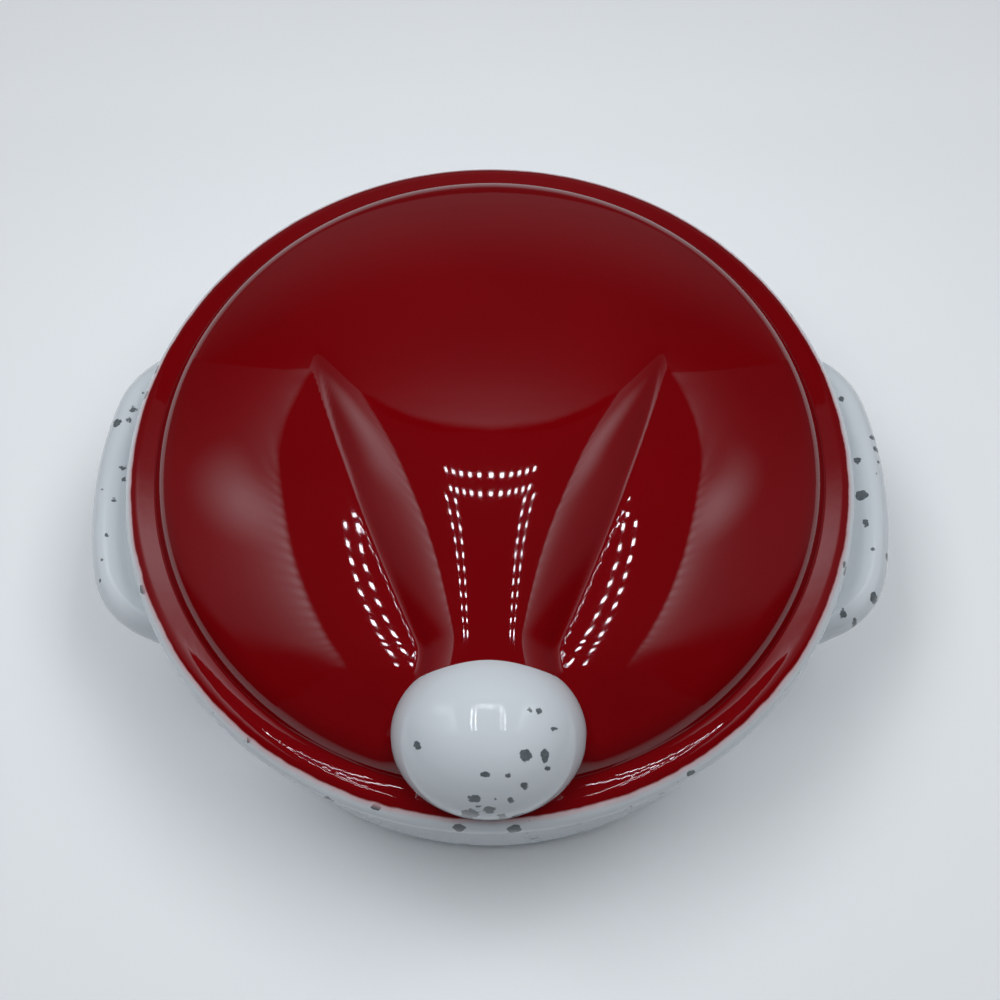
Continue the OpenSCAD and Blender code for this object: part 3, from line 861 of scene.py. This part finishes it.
sheet_far = add(
    sheet, "ShaderNodeMapRange", {0: sheet_away, 1: FADE_START * MM, 2: FADE_END * MM, 3: 0.0, 4: 1.0},
    interpolation_type="SMOOTHSTEP")
sheet_seen = add(
    sheet, "ShaderNodeMath",
    {0: sheet_far.outputs[0], 1: add(sheet, "ShaderNodeLightPath").outputs["Is Camera Ray"]},
    operation="MULTIPLY")
sheet_pale = add(sheet, "ShaderNodeEmission", {"Color": colour(STUDIO), "Strength": STUDIO_LEVEL})
sheet_mix = add(
    sheet, "ShaderNodeMixShader",
    {0: sheet_seen.outputs[0], 1: sheet_shader.outputs[0], 2: sheet_pale.outputs[0]})
add(sheet, "ShaderNodeOutputMaterial", {"Surface": sheet_mix.outputs[0]})
floor_corners = [(x * FLOOR_HALF, y * FLOOR_HALF, 0) for x, y in ((-1, -1), (1, -1), (1, 1), (-1, 1))]
floor = piece("floor", floor_corners, [[0, 1, 2, 3]], [paper])
floor.location.z = -FLOOR_GAP * MM

# Light: three broad lamps above light the dish softly, and rows of small bright tiles round an opening show
# in the gloss. Pale panels to the left, the right and behind glow towards their tops. The lamps' places and
# sizes are in metres.
for lamp_name, place, size, power in (
    ("left_lamp", (-0.28, 0.02, 0.65), (0.25, 0.4), 1.9),
    ("right_lamp", (0.28, 0.02, 0.65), (0.25, 0.4), 1.9),
    ("back_lamp", (0.0, 0.15, 0.65), (0.4, 0.25), 0.6),
):
    lamp_data = bpy.data.lights.new(lamp_name, "AREA")
    lamp_data.shape = "RECTANGLE"
    lamp_data.size, lamp_data.size_y = size
    lamp_data.energy = power
    lamp = bpy.data.objects.new(lamp_name, lamp_data)
    lamp.location = place
    lamp.visible_camera = False
    lamp.visible_glossy = False
    scene.collection.objects.link(lamp)

# Lamp tiles: small, very bright, cool white squares that show in the gloss as rows of dots.
TILE_HALF = 2.2
TILE_Z = 330
TILE_APART = 13
TILE_COUNT = 11
TILE_LEVEL = 45.0
TILE_COLUMNS = (60, 80)
TILE_ROWS = (52, 72)
COLUMN_START = 40
ROW_START = -65
tile_glow, tile_tree = new_material("lamp_tiles")
tile_light = add(tile_tree, "ShaderNodeEmission", {"Color": colour(LAMP_WHITE), "Strength": TILE_LEVEL})
add(tile_tree, "ShaderNodeOutputMaterial", {"Surface": tile_light.outputs[0]})
tile_places = [
    (side * x, COLUMN_START - TILE_APART * i)
    for side in (-1, 1) for x in TILE_COLUMNS for i in range(TILE_COUNT)]
tile_places += [(ROW_START + TILE_APART * i, y) for y in TILE_ROWS for i in range(TILE_COUNT)]
tile_points = [
    (x + TILE_HALF * i, y + TILE_HALF * j, TILE_Z)
    for x, y in tile_places for i, j in ((-1, -1), (-1, 1), (1, 1), (1, -1))]
tile_faces = [[4 * k + i for i in range(4)] for k in range(len(tile_places))]
tiles = piece("lamp_tiles", tile_points, tile_faces, [tile_glow])
tiles.visible_camera = False
tiles.visible_diffuse = False
tiles.visible_shadow = False

# Places of the panels. The glow of the lamp tiles lies on the side panels as soft ribs, as far apart as the
# tiles.
PANEL_X = 190
PANEL_FRONT = -170
PANEL_BACK = 135
SIDE_LOW = 34
SIDE_TOP = 315
LEFT_FRONT_TOP = 421
RIGHT_FRONT_TOP = 457
BACK_LOW = 60
BACK_TOP = 360
RIB_TURNS = (PANEL_BACK - PANEL_FRONT) / TILE_APART

# How a panel glows, in shares of its length and height. An end at NO_CUT lies off the panel, so that no
# corner of it is dark.
EVEN_HALF = 0.05
END_LEVEL = 0.25
CLIMB_POWER = 4.0
RIB_POWER = 14.0
CUT_SLANT = 0.45
CUT_START = 0.45
CUT_END = 0.58
CUT_LEVEL = 0.1
TOP_FADE = 0.92
NO_CUT = 3.0


def soft_panel(name, corners, low, strength, droop, ribs, front, spot):
    """A pale panel that glows most near its soft top, which droops to its ends, and less to its ends. Ribs
    is how far the glow swells and fades along it. Its lower corner at the end given by front is dark. One
    spot is brighter: its place, its half sizes and its gain are shares of the panel. The camera doesn't see
    the panel."""
    glow, tree = new_material(name)
    panel_place = add(tree, "ShaderNodeUVMap", uv_map="panel").outputs[0]
    where = add(tree, "ShaderNodeSeparateXYZ", {0: panel_place})
    ends = add(tree, "ShaderNodeMath", {0: where.outputs[0], 1: 0.5}, operation="SUBTRACT")
    aside = add(tree, "ShaderNodeMath", {0: ends.outputs[0]}, operation="ABSOLUTE")
    sides = add(
        tree, "ShaderNodeMapRange", {0: aside.outputs[0], 1: EVEN_HALF, 2: 0.5, 3: 1.0, 4: END_LEVEL},
        interpolation_type="SMOOTHSTEP")
    steep = add(tree, "ShaderNodeMath", {0: where.outputs[1], 1: CLIMB_POWER}, operation="POWER")
    climb = add(tree, "ShaderNodeMapRange", {0: steep.outputs[0], 1: 0.0, 2: 1.0, 3: low, 4: 1.0})
    rib_turn = add(
        tree, "ShaderNodeMath", {0: where.outputs[0], 1: RIB_TURNS * 2 * math.pi}, operation="MULTIPLY")
    rib_wave = add(tree, "ShaderNodeMath", {0: rib_turn.outputs[0]}, operation="SINE")
    rib_top = add(tree, "ShaderNodeMath", {0: where.outputs[1], 1: RIB_POWER}, operation="POWER")
    rib_share = add(tree, "ShaderNodeMath", {0: rib_top.outputs[0], 1: ribs}, operation="MULTIPLY")
    ribbed = add(
        tree, "ShaderNodeMath", {0: rib_wave.outputs[0], 1: rib_share.outputs[0], 2: climb.outputs[0]},
        operation="MULTIPLY_ADD")
    from_front = add(tree, "ShaderNodeMath", {0: where.outputs[0], 1: front}, operation="SUBTRACT")
    front_way = add(tree, "ShaderNodeMath", {0: from_front.outputs[0]}, operation="ABSOLUTE")
    slant = add(
        tree, "ShaderNodeMath", {0: where.outputs[1], 1: CUT_SLANT, 2: front_way.outputs[0]},
        operation="MULTIPLY_ADD")
    front_cut = add(
        tree, "ShaderNodeMapRange", {0: slant.outputs[0], 1: CUT_START, 2: CUT_END, 3: CUT_LEVEL, 4: 1.0},
        interpolation_type="SMOOTHSTEP")
    full = add(tree, "ShaderNodeMath", {0: sides.outputs[0], 1: ribbed.outputs[0]}, operation="MULTIPLY")
    level = add(tree, "ShaderNodeMath", {0: full.outputs[0], 1: front_cut.outputs[0]}, operation="MULTIPLY")
    roof = add(
        tree, "ShaderNodeMath", {0: aside.outputs[0], 1: droop, 2: where.outputs[1]},
        operation="MULTIPLY_ADD")
    soft_top = add(
        tree, "ShaderNodeMapRange", {0: roof.outputs[0], 1: TOP_FADE, 2: 1.0, 3: strength, 4: 0.0},
        interpolation_type="SMOOTHSTEP")
    off_spot = add(
        tree, "ShaderNodeVectorMath", {0: panel_place, 1: (spot[0], spot[1], 0.0)}, operation="SUBTRACT")
    off_share = add(
        tree, "ShaderNodeVectorMath", {0: off_spot.outputs[0], 1: (1 / spot[2], 1 / spot[3], 0.0)},
        operation="MULTIPLY")
    off_length = add(tree, "ShaderNodeVectorMath", {0: off_share.outputs[0]}, operation="LENGTH")
    hot = add(
        tree, "ShaderNodeMapRange", {0: off_length.outputs["Value"], 1: 0.0, 2: 1.0, 3: spot[4], 4: 0.0},
        interpolation_type="SMOOTHSTEP")
    whole = add(tree, "ShaderNodeMath", {0: level.outputs[0], 1: hot.outputs[0]}, operation="ADD")
    power = add(tree, "ShaderNodeMath", {0: whole.outputs[0], 1: soft_top.outputs[0]}, operation="MULTIPLY")
    light = add(tree, "ShaderNodeEmission", {"Color": colour(LAMP_WHITE), "Strength": power.outputs[0]})
    add(tree, "ShaderNodeOutputMaterial", {"Surface": light.outputs[0]})
    panel = piece(name, corners, [[0, 1, 2, 3]], [glow])
    layer = panel.data.uv_layers.new(name="panel")
    for loop, uv in zip(layer.data, ((0, 0), (1, 0), (1, 1), (0, 1))):
        loop.uv = uv
    panel.visible_camera = False
    panel.visible_shadow = False


soft_panel(
    "left_panel",
    [(-PANEL_X, PANEL_FRONT, SIDE_LOW), (-PANEL_X, PANEL_BACK, SIDE_LOW),
     (-PANEL_X, PANEL_BACK, SIDE_TOP), (-PANEL_X, PANEL_FRONT, LEFT_FRONT_TOP)],
    low=0.06, strength=2.4, droop=0.0, ribs=0.5, front=0.0, spot=(0.7, 0.66, 0.16, 0.34, 0.58))
soft_panel(
    "right_panel",
    [(PANEL_X, PANEL_BACK, SIDE_LOW), (PANEL_X, PANEL_FRONT, SIDE_LOW),
     (PANEL_X, PANEL_FRONT, RIGHT_FRONT_TOP), (PANEL_X, PANEL_BACK, SIDE_TOP)],
    low=0.06, strength=2.4, droop=0.0, ribs=0.5, front=1.0, spot=(0.28, 0.68, 0.16, 0.34, 0.58))
soft_panel(
    "back_panel",
    [(-PANEL_X, PANEL_BACK, BACK_LOW), (PANEL_X, PANEL_BACK, BACK_LOW),
     (PANEL_X, PANEL_BACK, BACK_TOP), (-PANEL_X, PANEL_BACK, BACK_TOP)],
    low=0.06, strength=0.8, droop=0.32, ribs=0.0, front=NO_CUT, spot=(0.5, 0.0, 0.9, 0.25, 0.15))

# World: a faint even fill, fainter still in the gloss, that the camera sees as the pale background.
FILL_LEVEL = 0.05
GLOSS_LEVEL = 0.03
world = bpy.data.worlds.new("studio")
world.use_nodes = True
sky = world.node_tree
sky_path = add(sky, "ShaderNodeLightPath")
fill = add(
    sky, "ShaderNodeMapRange",
    {0: sky_path.outputs["Is Glossy Ray"], 1: 0.0, 2: 1.0, 3: FILL_LEVEL, 4: GLOSS_LEVEL})
seen = add(
    sky, "ShaderNodeMapRange",
    {0: sky_path.outputs["Is Camera Ray"], 1: 0.0, 2: 1.0, 3: fill.outputs[0], 4: STUDIO_LEVEL})
sky.links.new(seen.outputs[0], sky.nodes["Background"].inputs[1])
sky.nodes["Background"].inputs[0].default_value = colour(STUDIO)
scene.world = world
